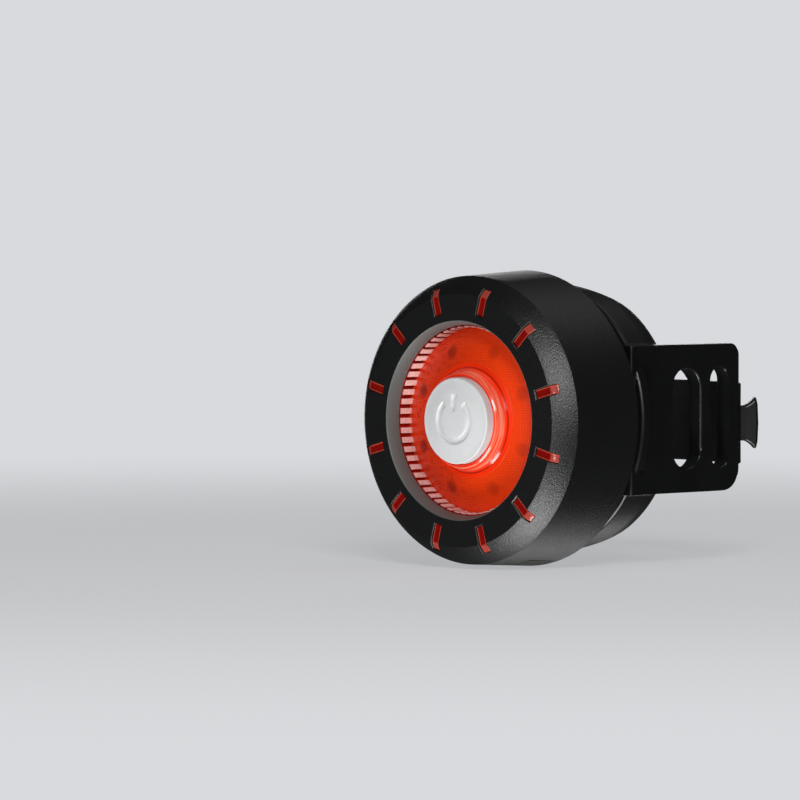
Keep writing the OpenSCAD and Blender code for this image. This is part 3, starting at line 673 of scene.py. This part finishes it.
# The light guide: one ring of clear dark red plastic under the housing's face. Its twelve fins
# fill the windows and follow the bevel, and carry the small lamps' light to them.
def clear_red(name, glass, share, coat, coat_roughness=0.05):
    """Clear coloured plastic: this share is its own colour with a wet gloss, the rest see-through."""
    clear = Finish(name, {"Coat Weight": coat, "Coat Roughness": coat_roughness,
                          "Specular IOR Level": 0.3})
    through = clear.add("ShaderNodeBsdfTransparent", {}, {"Color": glass})
    mixed = clear.add("ShaderNodeMixShader", {},
                      {0: share, 1: through, 2: Wire(clear, clear.shader.outputs[0])})
    clear.feed(clear.tree.nodes["Material Output"].inputs["Surface"], mixed)
    return clear


GUIDE_EDGE = 0.1 * MM
GUIDE_FINS = 12
FIN_HALF = 0.675 * MM
FIN_EDGE_HIGHLIGHT = (FIN_HALF - 0.24 * MM, FIN_HALF - 0.10 * MM)
FIN_BEND = (19.0 * MM, 19.2 * MM)
guide = merged_copy("light_guide")
soften(guide, GUIDE_EDGE, 2)
guide_red = clear_red("guide_red", tone(190, 20, 16), 0.9, 0.35)
fin_out, fin_side = fold(guide_red, GUIDE_FINS)
# The fins' pale edges are a painted highlight.
painted_fin_edge_highlight = fin_side.maths("ABSOLUTE").step(*FIN_EDGE_HIGHLIGHT)
# Where the fins turn onto the bevel they are painted lighter, a painted highlight.
painted_fin_end_light = fin_out.step(*FIN_BEND)
flow = guide_red.cloud(0.5 * MM, detail=3)
fin_red = guide_red.mix(flow, tone(112, 6, 4), tone(150, 14, 8))
fin_red = guide_red.mix(painted_fin_end_light * 0.4, fin_red, tone(224, 110, 96))
guide_red.paint({"Base Color": guide_red.mix(painted_fin_edge_highlight * 0.8, fin_red, tone(244, 106, 80)),
                 "Roughness": 0.14 + flow * 0.1})
guide_red.relief(flow, 0.01 * MM)
place_piece(guide, "guide_ring", "light_guide", "light", guide_red)


# The front housing: the light's charcoal shell. It is moulded in hard plastic with a fine spark
# grain, and a little worn. Its bevel bulges slightly, and is shaded nearly flat.
HOUSING_EDGE = 0.14 * MM
BEVEL_SLOPE = (0.72, -0.69)
BEVEL_EVEN = 0.7
LIP_EDGE = (15.05 * MM, 14.95 * MM)


def housing_normals(mesh):
    """Even normals that lean towards the slope of the bevel."""
    even_normals(mesh, BEVEL_SLOPE, BEVEL_EVEN)


housing = merged_copy("front_housing")
soften(housing, HOUSING_EDGE, 2)
charcoal = Finish("housing_charcoal", {"Specular IOR Level": 0.75})
grain = charcoal.cloud(0.30 * MM, detail=3, rough=0.7)
drift = charcoal.cloud(6 * MM, detail=4)
scuff = charcoal.cloud(0.9 * MM, detail=6, rough=0.8).step(0.68, 0.78)
# The lip round the face's opening is painted a lighter grey all round, a painted highlight.
lip_painted_light = from_axis(charcoal).step(*LIP_EDGE)
shell_black = charcoal.mix(grain * 0.5 + drift * 0.5 + scuff * 0.2, tone(4, 5, 6), tone(22, 23, 24))
charcoal.paint({"Base Color": charcoal.mix(lip_painted_light, shell_black, tone(88, 95, 93)),
                "Roughness": 0.29 + grain * 0.20 - drift * 0.04 + lip_painted_light * 0.15})
charcoal.relief(grain, 0.07 * MM)
place_piece(housing, "housing_shell", "front_housing", "light", charcoal,
            shade=housing_normals)


# The prism ring: sixty upright ribs of clear pink-red plastic round the lens, which catch the
# light from the side. Their pale faces are a painted highlight over the red, the grooves painted
# shade.
RIB_FACE = 14.0 * MM
RIB_GROOVE = (RIB_FACE + 0.08 * MM, RIB_FACE + 0.20 * MM)
RIB_RIDGE = 0.36 * MM
rib_red = clear_red("rib_red", tone(235, 90, 80), 0.92, 1.0)
# The grooves are painted dark as painted shade, and the rib faces pale as a painted highlight.
painted_groove_shade = from_axis(rib_red).step(*RIB_GROOVE)
ridges = (rib_red.y * (2 * math.pi / RIB_RIDGE)).maths("SINE") * 0.5 + 0.5
drag = rib_red.cloud(0.16 * MM, detail=3, stretch=(5, 1, 5)).step(0.42, 0.62)
streak = drag * 0.5 + ridges * 0.5
depth = rib_red.cloud(0.9 * MM, detail=2)
rib_pink_painted_highlight = rib_red.mix(streak * 0.6, tone(255, 232, 226), tone(214, 112, 98))
rib_pink_painted_highlight = rib_red.mix(depth.step(0.5, 0.75) * 0.4, rib_pink_painted_highlight, tone(222, 146, 134))
rib_red.paint({"Base Color": rib_red.mix(painted_groove_shade, rib_pink_painted_highlight, tone(160, 14, 6)),
               "Roughness": 0.2 + streak * 0.2})
rib_red.relief(streak, 0.02 * MM)
rib_red.dress("prism_ring")


# The lens: a dome of clear red plastic, pressed into the tray, with a collar in the middle that
# the button moves in. Its underside is covered in tiny prisms, which show as a fine hatch.
def hoop(distance, near, far):
    """1 between two distances and 0 outside them, with a soft passage inside each."""
    soft = (far - near) * 0.3
    return distance.step(near, near + soft) * distance.step(far, far - soft)


PRISM = 0.50 * MM
HATCH_START = (8.5 * MM, 8.8 * MM)
COLLAR_WALL = (6.9 * MM, 7.7 * MM)
COLLAR_FOOT = (7.75 * MM, 8.1 * MM)
ARC_WIDTH = 0.4 * MM
ARC_TURN = 0.8
LAMP_SHADOW = 1.5 * MM
PAINTED_SHADE_SIDE = (4 * MM, -9 * MM)
lens_red = clear_red("lens_red", tone(250, 60, 30), 0.86, 1.0, coat_roughness=0.14)
reach = from_axis(lens_red)
painted_shade_side = lens_red.x.step(*PAINTED_SHADE_SIDE)

# The prisms, mottled and darker on the far side, over the red of the tray.
wave = 2 * math.pi / PRISM
leaning = ((lens_red.x + lens_red.z) * wave).maths("SINE")
crossing = ((lens_red.x - lens_red.z) * wave).maths("SINE")
hatched = reach.step(*HATCH_START)
hatch = (leaning * crossing * 0.5 + 0.5) * hatched
mottle = lens_red.cloud(0.7 * MM, detail=5, rough=0.7).step(0.50, 0.72)
# The far side of the dome is painted darker and the near side brighter: painted shade and light.
lens_glow = lens_red.mix(painted_shade_side * 0.7, tone(255, 76, 10), tone(226, 58, 20))
lens_glow = lens_red.mix(hatched, tone(244, 52, 10), lens_glow)
lens_glow = lens_red.mix(hatch * 0.75, lens_glow, tone(186, 22, 4))
# The dark mottle is partly the plastic's own, and mostly painted shade on the far side.
lens_glow = lens_red.mix(mottle * (painted_shade_side * 0.6 + 0.1) * hatched, lens_glow, tone(112, 14, 6))

# The unlit lamps, which show as dark spots, deepened by painted shade on the far side.
lamp_dark = round_spots(lens_red, MAIN_LAMPS, MAIN_LAMP_RING, LAMP_SHADOW, 0.3)
lens_glow = lens_red.mix(lamp_dark * (0.3 + painted_shade_side * 0.4), lens_glow, tone(88, 12, 6))

# The collar, with painted highlights as pale arcs round its near wall, and painted shade as a dark
# line at its foot.
turn = lens_red.z.maths("ARCTAN2", lens_red.x)
swept = lens_red.add("ShaderNodeCombineXYZ", {},
                     {0: reach / ARC_WIDTH, 1: lens_red.y / ARC_WIDTH, 2: turn * ARC_TURN})
painted_highlight_arcs = lens_red.add("ShaderNodeTexNoise", {}, {"Vector": swept, "Scale": 1, "Detail": 3})
wall = hoop(reach, *COLLAR_WALL) * (1 - painted_shade_side)
lens_glow = lens_red.mix(wall * (painted_highlight_arcs.step(0.42, 0.60) * 0.75 + 0.1), lens_glow, tone(248, 160, 128))
lens_glow = lens_red.mix(hoop(reach, *COLLAR_FOOT) * 0.65, lens_glow, tone(132, 14, 4))
# The emission gives the lens a faint painted glow of its own colour, though the lamps behind it are
# unlit.
lens_red.paint({"Base Color": lens_glow, "Emission Color": lens_glow, "Emission Strength": 0.16,
                "Roughness": 0.14 + hatched * 0.24, "Coat Weight": 0.8 - hatched * 0.7})
lens_red.relief(hatch, 0.03 * MM)
lens_red.dress("lens")


# The button: soft white silicone, a shallow dome with a sunk power symbol. Its flange is held
# under the lens's collar, and its plunger reaches the switch.
BUTTON_EDGE = 0.07 * MM
button = merged_copy("button")
soften(button, BUTTON_EDGE, 3)
milk = Finish("button_silicone", {"Specular IOR Level": 0.35, "Subsurface Weight": 0.15,
                                  "Subsurface Radius": (0.6 * MM, 0.5 * MM, 0.4 * MM)})
cream = milk.cloud(1.5 * MM, detail=4)
pearl = milk.cloud(0.18 * MM)
milk.paint({"Base Color": milk.mix(cream, tone(214, 216, 217), tone(226, 227, 228)),
            "Roughness": 0.44 + cream * 0.1})
milk.relief(pearl, 0.006 * MM)
place_piece(button, "button_cap", "button", "power_button", milk)
